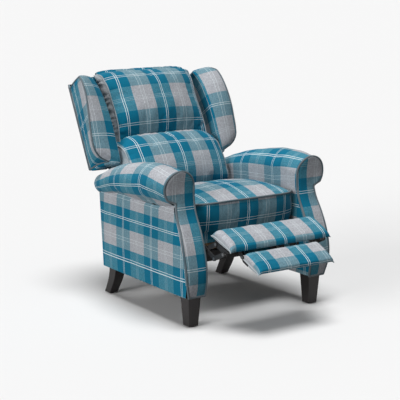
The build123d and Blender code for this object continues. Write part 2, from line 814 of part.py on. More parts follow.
tube = rod(tube_at, cross_tube_r, -seat_plate_x, seat_plate_x)
nodes["seat_cross_tube"] = tube - rod(tube_at, cross_tube_r - cross_tube_wall,
                                      -seat_plate_x, seat_plate_x)
nodes["back_pivot_pins"] = both(back_pin())

nodes["back_posts"] = both(back_block(post_x - post_w, post_x, post_foot, post_top,
                                      outside_t, back_front_t))
rail_x = post_x - post_w
nodes["back_top_rail"] = back_block(-rail_x, rail_x, post_top - back_rail_h, post_top,
                                    outside_t, back_front_t)
nodes["back_middle_rail"] = back_block(-rail_x, rail_x, back_middle_rise, back_middle_rise
                                       + back_rail_h, outside_t, back_front_t)
nodes["back_bottom_rail"] = back_block(-rail_x, rail_x, post_foot, post_foot + back_rail_h,
                                       outside_t, back_front_t)
nodes["back_webbing"] = back_block(-post_x, post_x, lumbar_foot, post_top, back_front_t,
                                   pillow_t)
nodes["outside_back"] = outside_back()
nodes["lumbar_cushion"] = lumbar_cushion()
nodes["head_cushion"] = head_cushion()
nodes["wing_boards"] = both(wing_board())
for name, side in sides.items():
    nodes[f"wing_pad_{name}"] = side(wing_pad())
nodes["wing_spacers"] = both(back_block(post_x, inner_x, wing_foot + wing_spacer_foot,
                                        post_top - wing_spacer_top, outside_t, back_front_t))
nodes["back_brackets"] = both(back_bracket())
back_bolts = []
for height in back_bolt_heights:
    back_bolts += both(back_bolt(height)).solids()
nodes["back_bolts"] = Compound(children=back_bolts)

nodes["drive_links"] = both(bar(drive_pivot, low_pivot, drive_x, [
    (at, pin_r + pin_clearance) for at in (drive_pivot, crossing, low_pivot)]))
nodes["cross_links"] = both(bar(slot_pin, top_pivot, cross_x, [
    (at, pin_r + pin_clearance) for at in (slot_pin, crossing, top_pivot)]))
nodes["tip_links"] = both(bar(low_pivot, tip_pivot, tip_x, [
    (low_pivot, pin_r + pin_clearance), (tip_pivot, pin_r + open_clearance)]))
nodes["footrest_brackets"] = both(footrest_bracket())
nodes["drive_pivot_pins"] = both(rivet(drive_pivot, drive_x, seat_plate_x + seat_plate_t))
nodes["drive_rivets"] = Compound(children=[
    *both(rivet(crossing, cross_x, drive_x + link_t)).solids(),
    *both(rivet(low_pivot, drive_x, tip_x + link_t)).solids()])
nodes["cross_rivets"] = Compound(children=[
    *both(rivet(top_pivot, carrier_x, cross_x + link_t)).solids(),
    *both(rivet(slot_pin, cross_x, seat_plate_x + seat_plate_t)).solids()])
nodes["footrest_rivets"] = Compound(children=[
    *both(rivet(tip_pivot, carrier_x, tip_x + link_t)).solids(),
    *both(rivet(flipper_pivot, flipper_half_width,
                flipper_half_width + 2 * link_t + layer_gap)).solids()])
nodes["footrest_board"] = footrest_board()
nodes["footrest_pad"] = footrest_pad()
nodes["flipper_hangers"] = both(flipper_hanger())
nodes["flipper_arms"] = both(flipper_arm())
nodes["flipper_board"] = flipper_board()
nodes["flipper_pad"] = flipper_pad()

os.makedirs("parts", exist_ok=True)
for name, shape in nodes.items():
    export_step(shape, f"parts/{name}.step")

boxes = [shape.bounding_box() for shape in nodes.values()]
for axis in "XYZ":
    low = min(getattr(box.min, axis) for box in boxes)
    high = max(getattr(box.max, axis) for box in boxes)
    print(f"{axis} {low:.1f} to {high:.1f}, middle {(low + high) / 2:.1f}")
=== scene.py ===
"""Push-back wingback recliner in teal and grey plaid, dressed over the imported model."""
import json
from math import pi, radians

import bmesh
import bpy
import numpy as np
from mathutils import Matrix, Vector
from mathutils.kdtree import KDTree


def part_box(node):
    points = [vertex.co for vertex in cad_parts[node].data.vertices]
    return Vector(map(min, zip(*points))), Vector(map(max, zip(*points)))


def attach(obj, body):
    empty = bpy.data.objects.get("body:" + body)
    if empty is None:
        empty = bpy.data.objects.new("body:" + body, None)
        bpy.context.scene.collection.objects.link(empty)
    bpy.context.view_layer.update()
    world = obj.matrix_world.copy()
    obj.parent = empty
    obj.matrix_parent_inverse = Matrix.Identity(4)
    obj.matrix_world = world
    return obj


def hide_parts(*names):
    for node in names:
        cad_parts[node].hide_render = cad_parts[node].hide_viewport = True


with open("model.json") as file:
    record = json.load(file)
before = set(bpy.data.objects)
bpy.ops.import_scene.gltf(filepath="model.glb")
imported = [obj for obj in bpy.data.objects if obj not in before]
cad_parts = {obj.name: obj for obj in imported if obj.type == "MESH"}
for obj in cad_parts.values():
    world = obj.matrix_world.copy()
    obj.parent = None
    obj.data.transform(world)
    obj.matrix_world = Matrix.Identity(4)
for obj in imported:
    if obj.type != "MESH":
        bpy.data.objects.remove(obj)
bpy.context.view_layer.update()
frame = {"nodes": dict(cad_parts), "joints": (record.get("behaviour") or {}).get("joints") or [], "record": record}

# ---------------------------------------------------------------- places from the frame
low = {name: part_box(name)[0] for name in frame["nodes"]}
high = {name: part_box(name)[1] for name in frame["nodes"]}
PIVOT = {joint["name"]: joint.get("pos_m") for joint in frame["joints"]}
HINGE = PIVOT["back_recline"][1:]
LEAN = radians(26.0)
INNER = low["inner_arm_pad_right"].x
OUTER = high["outer_side_pad_right"].x
BASE = low["side_boards"].z
DECK = high["seat_deck"].z
FRONT = -0.260              # neck of the arm facings
REAR = high["rear_panel"].y
RAKE = 0.027                # side panels' rear edge leans back at its top
TAPER = 0.017               # sides are narrower at the rear by this
DEPTH = REAR - FRONT
NECK, NECK_FALL = 0.368, 0.052
FACING_T = 0.014
BACK_FACE = 0.050           # the webbing's front is this far behind the hinge
POST_REAR_T = -0.088        # rear face of the back's posts, from the hinge
SIDES = {"right": 1, "left": -1}
SHARP = radians(58.0)       # folds sharper than this are creases

# the fabric's repeat: blue band and grey band across (A) and along (B) the cloth
REPEAT_A, REPEAT_B = 0.190, 0.220
SIDE_BLUE_Y = 0.1335        # middle of a blue band along both faces of the arms
BACK_BLUE_S = 0.377         # and up the pillow and the outside of the back
WOVEN, PLAIN, BLACK = range(3)      # places of a piece's finishes in FABRIC

# ---------------------------------------------------------------- helpers for shapes
def smooth(table, at, column=1):
    """Smooth curve through a table's rows, read at places of its first column."""
    rows = np.array(table, float)
    x, y = rows[:, 0], rows[:, column]
    at = np.clip(at, x[0], x[-1])
    slope = np.gradient(y, x)
    i = np.clip(np.searchsorted(x, at) - 1, 0, len(x) - 2)
    h = x[i + 1] - x[i]
    f = (at - x[i]) / h
    return ((1 + 2 * f) * (1 - f) ** 2 * y[i] + f * (1 - f) ** 2 * h * slope[i]
            + f * f * (3 - 2 * f) * y[i + 1] + f * f * (f - 1) * h * slope[i + 1])


def points(x, y, z):
    """Places in space from three arrays that fit together."""
    return np.stack(np.broadcast_arrays(x, y, z), -1).astype(float)


def on_back(x, s, t):
    """Place s up the back from its hinge and t towards the sitter."""
    k, c = np.sin(LEAN), np.cos(LEAN)
    return points(x, HINGE[0] + s * k - t * c, HINGE[1] + s * c + t * k)


def on_back_face(x, a, h):
    """Place a up the webbing's front and h out of it."""
    return on_back(x, a, h - BACK_FACE)


def tilted(origin, slope):
    """Maps (x, along, square) for a board that slopes down to the front."""
    k, c = np.sin(radians(slope)), np.cos(radians(slope))
    return lambda x, a, h: points(x, origin[0] - a * c - h * k, origin[1] - a * k + h * c)


def run(path):
    """Length along a row of points, from 0."""
    steps = np.linalg.norm(np.diff(path, axis=0), axis=1)
    return np.concatenate([[0.0], np.cumsum(steps)])


def ripple(where, wavelength, seed):
    """Soft random field from -1 to 1, the same on each run."""
    rng = np.random.default_rng(seed)
    total = np.zeros(where.shape[:-1])
    for _ in range(7):
        wave = rng.normal(size=3)
        wave *= 2 * pi / (wavelength * np.linalg.norm(wave)) * rng.uniform(0.7, 1.4)
        total += np.sin(where @ wave + rng.uniform(0, 2 * pi))
    return total / 7 * 1.6


def patch(place, u, v, finish=WOVEN):
    """A grid of points with its cloth coordinates, in metres, and its material."""
    rows, columns = place.shape[:2]
    uv = np.stack(np.broadcast_arrays(u, v), -1)
    return place, np.broadcast_to(uv, (rows, columns, 2)), finish


def build(name, patches, body, finishes=None, weld=0.0003):
    """One mesh from several grids, joined where their edges meet; FABRIC if no finishes."""
    places, uvs, faces, picks = [], [], [], []
    start = 0
    for place, uv, finish in patches:
        rows, columns = place.shape[:2]
        places.append(place.reshape(-1, 3))
        uvs.append(uv.reshape(-1, 2))
        index = start + np.arange(rows * columns).reshape(rows, columns)
        quads = np.stack([index[:-1, :-1], index[:-1, 1:], index[1:, 1:], index[1:, :-1]], -1)
        faces.append(quads.reshape(-1, 4))
        picks.append(np.full(quads.shape[0] * quads.shape[1], finish))
        start += rows * columns
    places, uvs, faces = np.concatenate(places), np.concatenate(uvs), np.concatenate(faces)
    mesh = bpy.data.meshes.new(name)
    mesh.from_pydata(places.tolist(), [], faces.tolist())
    layer = mesh.uv_layers.new(name="cloth")
    layer.data.foreach_set("uv", uvs[faces.ravel()].ravel())
    mesh.polygons.foreach_set("material_index", np.concatenate(picks).astype(np.int32))
    for finish in finishes or FABRIC:
        mesh.materials.append(finish)
    work = bmesh.new()
    work.from_mesh(mesh)
    bmesh.ops.remove_doubles(work, verts=work.verts, dist=weld)
    bmesh.ops.dissolve_degenerate(work, edges=work.edges, dist=1e-6)
    bmesh.ops.recalc_face_normals(work, faces=work.faces)
    for edge in work.edges:
        edge.smooth = edge.calc_face_angle(0.0) < SHARP
    for face in work.faces:
        face.smooth = True
    work.to_mesh(mesh)
    work.free()
    piece = bpy.data.objects.new(name, mesh)
    bpy.context.scene.collection.objects.link(piece)
    piece["goes_on"] = body
    return piece


def mirrored(side, place):
    """Places of the right half, moved to the left one where side is -1."""
    return place * np.array([side, 1.0, 1.0])


def vertices_at(piece, places, reach=0.0008):
    """The mesh's vertices that lie at any of the places."""
    tree = KDTree(len(piece.data.vertices))
    for vertex in piece.data.vertices:
        tree.insert(vertex.co, vertex.index)
    tree.balance()
    found = set()
    for place in np.concatenate([np.asarray(p).reshape(-1, 3) for p in places]):
        found.update(index for _, index, _ in tree.find_range(place, reach))
    return sorted(found)


PRESSURE = 4.0
SLACK = 0.012               # spare cloth, as a share of the cover
SWELL = 0.014               # no vertex may move farther
CLOTH_FRAMES = 20


def stuff(piece, pinned):
    """Cloth simulation: the cover swells between its pinned seams, then becomes the mesh."""
    seam = piece.vertex_groups.new(name="seam")
    seam.add(vertices_at(piece, pinned), 1.0, "REPLACE")
    cover = piece.modifiers.new("cover", "CLOTH")
    cloth = cover.settings
    cloth.quality = 6
    cloth.mass = 0.25
    cloth.tension_stiffness = 12.0
    cloth.compression_stiffness = 12.0
    cloth.shear_stiffness = 4.0
    cloth.bending_stiffness = 0.25
    cloth.air_damping = 4.0
    cloth.use_pressure = True
    cloth.uniform_pressure_force = PRESSURE
    cloth.vertex_group_mass = seam.name
    cloth.shrink_min = -SLACK
    cloth.effector_weights.gravity = 0.0
    cover.collision_settings.use_collision = False
    cover.point_cache.frame_start = 1
    cover.point_cache.frame_end = CLOTH_FRAMES
    scene = bpy.context.scene
    for frame_number in range(1, CLOTH_FRAMES + 1):
        scene.frame_set(frame_number)
        bpy.context.view_layer.update()
    count = len(piece.data.vertices)
    flat, swollen = np.empty(3 * count), np.empty(3 * count)
    piece.data.vertices.foreach_get("co", flat)
    result = piece.evaluated_get(bpy.context.evaluated_depsgraph_get()).data
    result.vertices.foreach_get("co", swollen)
    moved = (swollen - flat).reshape(-1, 3)
    length = np.linalg.norm(moved, axis=1, keepdims=True)
    moved *= np.minimum(1.0, SWELL / np.maximum(length, 1e-9))
    piece.modifiers.remove(cover)
    piece.vertex_groups.remove(seam)
    piece.data.vertices.foreach_set("co", flat + moved.ravel())
    piece.data.update()
    scene.frame_set(1)


def settle(piece, fill, *nodes):
    """A padded piece is finished: it rides on its body and stands for its CAD nodes."""
    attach(piece, piece["goes_on"])
    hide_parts(*nodes)


def tubes(name, paths, radius, body, finish):
    """Round cords along lists of points, as one mesh."""
    patches = []
    sides = 8
    turn = np.linspace(0, 2 * pi, sides + 1)
    for path in paths:
        path = np.asarray(path, float)
        along = np.gradient(path, axis=0)
        along /= np.linalg.norm(along, axis=1)[:, None]
        across = np.cross(along[0], (0.3, 0.5, 0.8))
        rings = []
        for place, way in zip(path, along):
            across = across - way * (across @ way)
            across /= np.linalg.norm(across)
            other = np.cross(way, across)
            rings.append(place + radius * (np.cos(turn)[:, None] * across
                                           + np.sin(turn)[:, None] * other))
        rings = np.array(rings)
        rings = np.concatenate([path[:1, None].repeat(sides + 1, 1), rings,
                                path[-1:, None].repeat(sides + 1, 1)])
        length = np.concatenate([[0.0], run(path), [run(path)[-1]]])
        patches.append(patch(rings, length[:, None], turn[None, :] * radius))
    piece = build(name, patches, body, [finish], weld=1e-5)
    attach(piece, body)


# ---------------------------------------------------------------- materials
def node(tree, kind, inputs=(), **settings):
    """New shader node; an input is a value or the socket that feeds it."""
    made = tree.nodes.new(kind)
    for key, value in settings.items():
        setattr(made, key, value)
    for key, value in dict(inputs).items():
        if isinstance(value, bpy.types.NodeSocket):
            tree.links.new(value, made.inputs[key])
        else:
            made.inputs[key].default_value = value
    return made


def maths(tree, operation, a, b=0.0):
    return node(tree, "ShaderNodeMath", {0: a, 1: b}, operation=operation).outputs[0]


def graded(tree, value, by, plus):
    """value * by + plus"""
    return maths(tree, "ADD", maths(tree, "MULTIPLY", value, by), plus)


def scaled(tree, colour, by):
    return node(tree, "ShaderNodeVectorMath", {0: colour, 3: by}, operation="SCALE").outputs[0]


def mix(tree, share, a, b):
    made = node(tree, "ShaderNodeMix", data_type="RGBA")
    for at, value in ((0, share), (6, a), (7, b)):
        if isinstance(value, bpy.types.NodeSocket):
            tree.links.new(value, made.inputs[at])
        else:
            made.inputs[at].default_value = value if at == 0 else (*value, 1.0)
    return made.outputs[2]


def noise(tree, where, scale, detail, stretch=(1, 1, 1)):
    mapped = node(tree, "ShaderNodeVectorMath", {0: where, 1: stretch}, operation="MULTIPLY")
    made = node(tree, "ShaderNodeTexNoise", {"Vector": mapped.outputs[0], "Scale": scale,
                                             "Detail": detail})
    return made.outputs["Fac"]


def shader(name, roughness, specular, sheen=0.0, metallic=0.0):
    made = bpy.data.materials.new(name)
    made.use_nodes = True
    tree = made.node_tree
    surface = tree.nodes["Principled BSDF"]
    surface.inputs["Roughness"].default_value = roughness
    surface.inputs["Sheen Weight"].default_value = sheen
    surface.inputs["Sheen Roughness"].default_value = 0.5
    surface.inputs["Specular IOR Level"].default_value = specular
    surface.inputs["Metallic"].default_value = metallic
    return made, tree, surface


def bump(tree, surface, height, distance, strength):
    made = node(tree, "ShaderNodeBump", {"Height": height, "Distance": distance,
                                         "Strength": strength})
    tree.links.new(made.outputs[0], surface.inputs["Normal"])


GREY = (0.385, 0.398, 0.428)
BLUE = (0.001, 0.142, 0.240)
BLUE_ON_GREY = (0.026, 0.203, 0.288)   # blue band across, grey band along
GREY_ON_BLUE = (0.136, 0.262, 0.318)
WHITE = (0.75, 0.83, 0.85)
THREAD = 0.0011                        # one yarn
TWILL = 4                              # yarns from one diagonal to the next
YARN_SHARE = 0.14                      # of its own colour that each yarn shows
LINE_PAIR, LINE_WIDTH = 0.0042, 0.0011     # white lines: off their middle, half width
FINE_PAIR, FINE_WIDTH = 0.0070, 0.0009     # and the fine lines of the grey band


def cloth_coordinates(tree):
    """Cloth coordinates in metres, drawn slightly off true as woven cloth is."""
    uv = node(tree, "ShaderNodeUVMap", uv_map="cloth").outputs[0]
    drift = node(tree, "ShaderNodeTexNoise", {"Vector": uv, "Scale": 6.0, "Detail": 1.0})
    moved = node(tree, "ShaderNodeVectorMath",
                 {0: drift.outputs["Color"], 1: (0.0020, 0.0020, 0.0)}, operation="MULTIPLY")
    total = node(tree, "ShaderNodeVectorMath", {0: uv, 1: moved.outputs[0]}, operation="ADD")
    parts = node(tree, "ShaderNodeSeparateXYZ", {0: total.outputs[0]})
    return uv, parts.outputs[0], parts.outputs[1]


def weave(tree, uv, u, v):
    """Which yarn is on top in the twill, and how the yarns stand out."""
    diagonal = maths(tree, "FRACT", maths(tree, "DIVIDE", maths(tree, "ADD", u, v),
                                          TWILL * THREAD))
    on_top = maths(tree, "GREATER_THAN", diagonal, 0.5)
    across = noise(tree, uv, 1.0, 1.0, (1 / THREAD, 25.0, 1.0))
    along = noise(tree, uv, 1.0, 1.0, (25.0, 1 / THREAD, 1.0))
    yarns = maths(tree, "ADD", across, along)
    fuzz = noise(tree, uv, 330.0, 3.0)
    return on_top, yarns, fuzz


def cloth_finish(tree, surface, colour, on_top, yarns, fuzz, uv):
    """Yarn shading, light soiling and the weave's relief over a colour."""
    shade = graded(tree, yarns, 0.26, maths(tree, "MULTIPLY", fuzz, 0.6))
    soiling = noise(tree, uv, 5.0, 3.0)
    shade = maths(tree, "ADD", shade, maths(tree, "MULTIPLY", soiling, 0.16))
    shade = maths(tree, "ADD", shade, 0.37)
    tree.links.new(scaled(tree, colour, shade), surface.inputs["Base Color"])
    tree.links.new(graded(tree, fuzz, 0.2, 0.74), surface.inputs["Roughness"])
    relief = maths(tree, "ADD", maths(tree, "MULTIPLY", on_top, 0.35),
                   maths(tree, "ADD", yarns, fuzz))
    bump(tree, surface, relief, 0.00022, 0.7)


def band(tree, coordinate, repeat):
    """Blue band, its pair of white lines, and the fine lines of the grey band."""
    place = maths(tree, "FRACT", maths(tree, "ADD", maths(tree, "DIVIDE", coordinate, repeat),
                                       0.25))
    blue = maths(tree, "LESS_THAN", place, 0.5)

    def lines(middle, apart, width):
        off = maths(tree, "MULTIPLY", maths(tree, "ABSOLUTE", maths(tree, "SUBTRACT", place,
                                                                    middle)), repeat)
        gap = maths(tree, "ABSOLUTE", maths(tree, "SUBTRACT", off, apart))
        return maths(tree, "LESS_THAN", gap, width)

    return (blue, lines(0.25, LINE_PAIR, LINE_WIDTH), lines(0.75, FINE_PAIR, FINE_WIDTH),
            lines(0.75, 0, FINE_WIDTH))


def plaid_cloth():
    made, tree, surface = shader("plaid_cloth", 0.85, sheen=0.06, specular=0.1)
    uv, u, v = cloth_coordinates(tree)
    on_top, yarns, fuzz = weave(tree, uv, u, v)
    blue_u, white_u, fine_u, thin_u = band(tree, u, REPEAT_A)
    blue_v, white_v, fine_v, thin_v = band(tree, v, REPEAT_B)
    on_grey = mix(tree, blue_v, GREY, GREY_ON_BLUE)
    on_blue = mix(tree, blue_v, BLUE_ON_GREY, BLUE)
    colour = mix(tree, blue_u, on_grey, on_blue)
    warp = mix(tree, blue_u, GREY, BLUE)
    weft = mix(tree, blue_v, GREY, BLUE)
    yarn = mix(tree, on_top, warp, weft)
    colour = mix(tree, YARN_SHARE, colour, yarn)
    heather = noise(tree, uv, 190.0, 2.0, (1.0, 0.6, 1.0))
    speckled = scaled(tree, colour, graded(tree, heather, 0.9, 0.55))
    grey = maths(tree, "SUBTRACT", 1.0, maths(tree, "MULTIPLY", blue_u, blue_v))
    colour = mix(tree, grey, colour, speckled)
    for share, lines in ((0.50, fine_u), (0.25, fine_v), (0.12, thin_u), (0.22, thin_v),
                         (0.90, white_u), (0.62, white_v)):
        colour = mix(tree, maths(tree, "MULTIPLY", lines, share), colour, WHITE)
    cloth_finish(tree, surface, colour, on_top, yarns, fuzz, uv)
    return made


def plain_cloth(name, light, dark):
    """Cloth of one band, as on boxing and piping cut from the same roll."""
    made, tree, surface = shader(name, 0.85, sheen=0.06, specular=0.1)
    uv, u, v = cloth_coordinates(tree)
    on_top, yarns, fuzz = weave(tree, uv, u, v)
    patchy = maths(tree, "MULTIPLY", noise(tree, uv, 9.0, 2.0), 3.0)
    patchy = maths(tree, "SUBTRACT", patchy, 1.0)
    colour = mix(tree, patchy, light, dark)
    cloth_finish(tree, surface, colour, on_top, yarns, fuzz, uv)
    return made


def wood(name, light, dark, roughness, along):
    made, tree, surface = shader(name, roughness, specular=0.4)
    where = node(tree, "ShaderNodeTexCoord").outputs["Object"]
    stretch = tuple(3.0 if axis == along else 60.0 for axis in range(3))
    grain = noise(tree, where, 1.6, 5.0, stretch)
    pores = noise(tree, where, 9.0, 2.0, stretch)
    mixed = graded(tree, grain, 1.5, maths(tree, "MULTIPLY", pores, 0.5))
    colour = mix(tree, maths(tree, "SUBTRACT", mixed, 0.5), dark, light)
    tree.links.new(colour, surface.inputs["Base Color"])
    rough = graded(tree, pores, 0.2, roughness - 0.1)
    tree.links.new(rough, surface.inputs["Roughness"])
    bump(tree, surface, mixed, 0.0004, 0.35)
    return made


def steel(name, colour, worn, roughness, metallic):
    made, tree, surface = shader(name, roughness, metallic=metallic, specular=0.5)
    where = node(tree, "ShaderNodeTexCoord").outputs["Object"]
    blotch = noise(tree, where, 60.0, 4.0)
    scratch = noise(tree, where, 1.0, 2.0, (900.0, 60.0, 60.0))
    edge = node(tree, "ShaderNodeNewGeometry").outputs["Pointiness"]
    wear = maths(tree, "MULTIPLY", maths(tree, "GREATER_THAN", edge, 0.53), blotch)
    colour = mix(tree, maths(tree, "MULTIPLY", wear, 0.6), colour, worn)
    tree.links.new(colour, surface.inputs["Base Color"])
    rough = graded(tree, blotch, 0.25, roughness - 0.1)
    tree.links.new(rough, surface.inputs["Roughness"])
    bump(tree, surface, maths(tree, "ADD", blotch, scratch), 0.0003, 0.25)
    return made


def felt(name, colour, repeat):
    """Black backing cloth or webbing with a plain open weave."""
    made, tree, surface = shader(name, 0.9, sheen=0.1, specular=0.15)
    where = node(tree, "ShaderNodeTexCoord").outputs["Object"]
    parts = node(tree, "ShaderNodeSeparateXYZ", {0: where})
    rib = [maths(tree, "SINE", maths(tree, "MULTIPLY", parts.outputs[axis], 2 * pi / repeat))
           for axis in range(3)]
    ribs = maths(tree, "ADD", maths(tree, "ADD", rib[0], rib[1]), rib[2])
    fuzz = noise(tree, where, 900.0, 2.0)
    shade = graded(tree, ribs, 0.12, maths(tree, "MULTIPLY", fuzz, 0.9))
    colour = mix(tree, shade, tuple(0.5 * c for c in colour), tuple(1.5 * c for c in colour))
    tree.links.new(colour, surface.inputs["Base Color"])
    bump(tree, surface, maths(tree, "ADD", ribs, fuzz), 0.0004, 0.5)
    return made


PLAID = plaid_cloth()
# Boxing colours are painted lighter than the cloth's own grey: painted light that lifts the shade the boxing sits
# in, beside the wings and in the gathers
BOXING_PAINTED_LIGHT = plain_cloth("grey_boxing_painted_light", (0.46, 0.48, 0.50), (0.24, 0.29, 0.32))
PIPING = plain_cloth("piping_cloth", (0.18, 0.205, 0.222), (0.07, 0.115, 0.14))
BACKING = felt("black_backing", (0.012, 0.012, 0.013), 0.0016)
FABRIC = [PLAID, BOXING_PAINTED_LIGHT, BACKING]
LEG_WOOD = wood("dark_stained_wood", (0.013, 0.0095, 0.0092), (0.0045, 0.0035, 0.0038), 0.52, 2)
FRAME_WOOD = wood("frame_timber", (0.55, 0.40, 0.24), (0.38, 0.25, 0.14), 0.7, 0)
BLACK_STEEL = steel("black_enamel", (0.007, 0.007, 0.008), (0.035, 0.035, 0.035), 0.5, 0.0)
BRIGHT_STEEL = steel("zinc_plate", (0.20, 0.20, 0.205), (0.30, 0.30, 0.30), 0.45, 1.0)
WEBBING = felt("black_webbing", (0.02, 0.02, 0.022), 0.003)
NYLON = felt("black_nylon", (0.02, 0.02, 0.02), 0.0011)
CARRIED_OVER = {"leg_wood": LEG_WOOD, "frame_wood": FRAME_WOOD, "black_steel": BLACK_STEEL,
                "bright_steel": BRIGHT_STEEL, "webbing": WEBBING, "glide_nylon": NYLON,
                "plaid_fabric": BOXING_PAINTED_LIGHT}


def finish_cad_nodes():
    """The CAD pieces that show keep their meshes and get their finish."""
    for part in frame["record"]["subparts"]:
        carried = frame["nodes"][part["node"]]
        for place in carried.material_slots:
            place.link = "OBJECT"
            place.material = CARRIED_OVER[part["material_slot"]]


# ---------------------------------------------------------------- the arms
# up the arm's front edge: height above the base, distance ahead of the neck
FACING = [(0.0, 0.077), (0.068, 0.087), (0.113, 0.085), (0.173, 0.072), (0.248, 0.044),
          (0.323, 0.006), (0.423, -0.005), (0.484, 0.005), (0.520, 0.010)]
# down the roll: depth behind the neck, height of its middle over the neck line, radius
ROLL = [(-0.012, 0.047, 0.068), (0.125, 0.066, 0.074), (0.280, 0.068, 0.072),
        (0.425, 0.062, 0.061), (0.545, 0.045, 0.050), (0.622, 0.031, 0.041)]
ROLL_OVERLAP = 0.004
ROLL_FROM, ROLL_TO = 180, -62   # the roll's cover starts inside and ends under the outside
ROLL_KNEE = 0.165           # behind the neck, where the cover is folded and its lines bend
ROLL_LINE = -5.0            # degrees above level, where the white lines run along the roll
TUCK = 0.006                # how far covers run in behind the facings
# crease under the roll's outside: depth behind the neck, height above the base
CREASE = [(-0.012, 0.352), (0.036, 0.345), (0.12, 0.333), (0.28, 0.330), (0.435, 0.334),
          (0.504, 0.328), (0.60, 0.316)]
# up the arm's outer edge: share of the height to the scroll, bulge past the side
BELLY = [(0.0, -0.012), (0.17, 0.002), (0.48, 0.007), (0.72, 0.002), (1.0, -0.006)]
# where the arm's checks lie: height of a blue band's middle inside and outside, then how much
# wider the outside's bands are drawn, how they rise to the rear, and the lowest ones' width
INSIDE_BLUE_Z, OUTSIDE_BLUE_Z = 0.411, 0.367
OUTSIDE_SCALE, OUTSIDE_RISE, LOW_SCALE = 1.105, 0.014, 0.62
FACING_BLUE_X, FACING_BLUE_Z, FACING_SCALE = 0.2585, 0.467, 0.965


def facing_y(z):
    """Front of the arm's side at a height, under its facing."""
    return FRONT - smooth(FACING, z - BASE)


def neck_z(y):
    """Height of the seat of the roll."""
    return BASE + NECK - NECK_FALL * (y - FRONT) / DEPTH


def outer_at(y):
    """Outer face of the arm's side."""
    return OUTER - TAPER * np.clip((y - FRONT) / DEPTH, 0, 1)


def arm_side(name, side):
    """Inner, rear and outer panels of one arm, wrapped round it, over a black underside."""
    rows = np.linspace(0, 1, 40)[:, None]
    corner = 0.012
    turn = np.linspace(0, pi / 2, 9)[None, :]

    def wrap(z):
        front, rear = facing_y(z) + TUCK, REAR + RAKE * (z - BASE) / NECK
        share = np.linspace(0, 1, 60)[None, :]
        inner = points(INNER + 0 * share, front + (rear - corner - front) * share, z)
        first = points(INNER + corner * (1 - np.cos(turn)), rear - corner * (1 - np.sin(turn)), z)
        wide = outer_at(rear)
        back = points(INNER + corner + (wide - 2 * corner - INNER) * share[:, ::3],
                      rear + 0.004 * np.sin(pi * share[:, ::3]), z)
        second = points(wide - corner * (1 - np.sin(turn)), rear - corner * (1 - np.cos(turn)), z)
        y = rear - corner + (front - rear + corner) * share
        outer = points(outer_at(y), y, z)
        return [inner, first, back, second, outer]

    def top(y):
        return neck_z(y) - 0.004

    def crease(y):
        return BASE + smooth(CREASE, y - FRONT)

    level = BASE + (top(FRONT) - BASE) * rows
    grids = wrap(level)
    inside, _, rear_panel, second_corner, outside = range(len(grids))
    patches = []
    lead = 0.0
    for index, grid in enumerate(grids):
        y = grid[..., 1]
        if index == inside:
            rim = top(y)
        elif index == outside:
            rim = crease(y)
        else:
            share = float(index == second_corner)
            if index == rear_panel:
                share = np.linspace(0, 1, y.shape[1])[None, :]
            rim = top(y) + (crease(y) - top(y)) * share
        grid[..., 2] = BASE + (rim - BASE) * rows
        puff = np.sin(pi * rows) ** 0.6
        if index == outside:
            ease = np.clip((grid[:, :1, 1] - y) / 0.05, 0, 1)
            ease = ease * np.clip((y - y[:, -1:]) / 0.05, 0, 1)
            grid[..., 0] += 0.006 * puff * ease + 0.0012 * ripple(grid, 0.11, 5) * ease
            grid[..., 0] -= 0.006 * np.clip((rows - 0.97) / 0.03, 0, 1) ** 2
        if index == inside:
            grid[..., 0] -= 0.002 * puff
        z = grid[..., 2]
        if index in (inside, outside):
            v = y - SIDE_BLUE_Y
        else:
            v = np.broadcast_to((run(grid[0])[None, :] + lead), y.shape)
        u = z - INSIDE_BLUE_Z
        if index != inside:
            u = OUTSIDE_SCALE * (z - OUTSIDE_BLUE_Z + OUTSIDE_RISE * y)
        u = np.where(u < -REPEAT_A, LOW_SCALE * (u + REPEAT_A) - REPEAT_A, u)
        patches.append(patch(mirrored(side, grid), u, v))
        lead = y[0, -1] - SIDE_BLUE_Y if index == inside else lead + run(grid[0])[-1]
    inner, outer = grids[inside][0], grids[outside][0][::-1]
    share = np.linspace(0, 1, 6)[:, None, None]
    under = inner[None] + (outer - inner)[None] * share
    patches.append(patch(mirrored(side, under), under[..., 1], under[..., 0], BLACK))
    start, end = grids[inside][:, 0], grids[outside][:, -1]
    share = np.linspace(0, 1, 6)[None, :, None]
    face = start[:, None] + (end - start)[:, None] * share
    patches.append(patch(mirrored(side, face), face[..., 0], face[..., 2], BLACK))
    piece = build(f"arm_panels_{name}", patches, "base")
    settle(piece, 0.4, f"inner_arm_pad_{name}", f"outer_side_pad_{name}")


